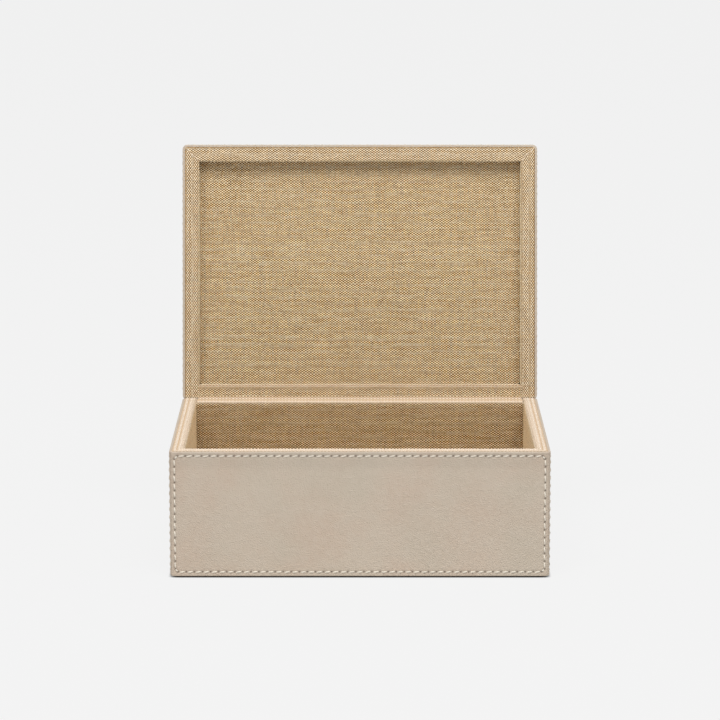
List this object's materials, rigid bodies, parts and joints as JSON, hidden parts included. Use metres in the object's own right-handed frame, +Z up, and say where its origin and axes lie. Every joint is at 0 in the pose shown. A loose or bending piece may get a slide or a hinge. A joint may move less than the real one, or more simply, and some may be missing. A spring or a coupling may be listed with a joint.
{
  "type": "leather box",
  "caption": "Rectangular keepsake box in stitched taupe leather with a linen lining and a shallow hinged lid that stands open past upright.",
  "frame": {"origin": "middle of the underside of the felt pad that the box stands on", "axes": "+Z up, -Y towards the front, +X to the right as seen from the front; the lid is open"},
  "size_m": [0.25, 0.2248, 0.2607],
  "materials": {
    "taupe_leather": "fine-grained taupe leather with a soft sheen, cream stitching",
    "natural_linen": "coarse plain-woven natural linen",
    "fibreboard": "raw medium-density fibreboard",
    "lining_card": "grey card",
    "steel_brad": "bright steel wire",
    "dark_felt": "dense dark felt"
  },
  "bodies": {
    "box": {"base_pad": "dark_felt", "base_board": "fibreboard", "front_board": "fibreboard", "back_board": "fibreboard", "left_board": "fibreboard", "right_board": "fibreboard", "wall_brads": "steel_brad", "base_brads": "steel_brad", "front_leather": "taupe_leather", "back_leather": "taupe_leather", "left_leather": "taupe_leather", "right_leather": "taupe_leather", "front_lining": "natural_linen", "back_lining": "natural_linen", "left_lining": "natural_linen", "right_lining": "natural_linen", "floor_card": "lining_card", "floor_linen": "natural_linen", "hinge_fold": "natural_linen"},
    "lid": {"lid_top_board": "fibreboard", "lid_front_rail": "fibreboard", "lid_back_rail": "fibreboard", "lid_left_rail": "fibreboard", "lid_right_rail": "fibreboard", "lid_brads": "steel_brad", "lid_top_leather": "taupe_leather", "lid_front_leather": "taupe_leather", "lid_back_leather": "taupe_leather", "lid_left_leather": "taupe_leather", "lid_right_leather": "taupe_leather", "lid_front_lining": "natural_linen", "lid_back_lining": "natural_linen", "lid_left_lining": "natural_linen", "lid_right_lining": "natural_linen", "lid_panel_card": "lining_card", "lid_panel_linen": "natural_linen"}
  },
  "joints": [
    {"name": "lid_hinge", "type": "hinge", "parent": "box", "child": "lid", "pos_m": [0, 0.0884, 0.08525], "axis": [1, 0, 0], "range_deg": [0, 100]}
  ]
}
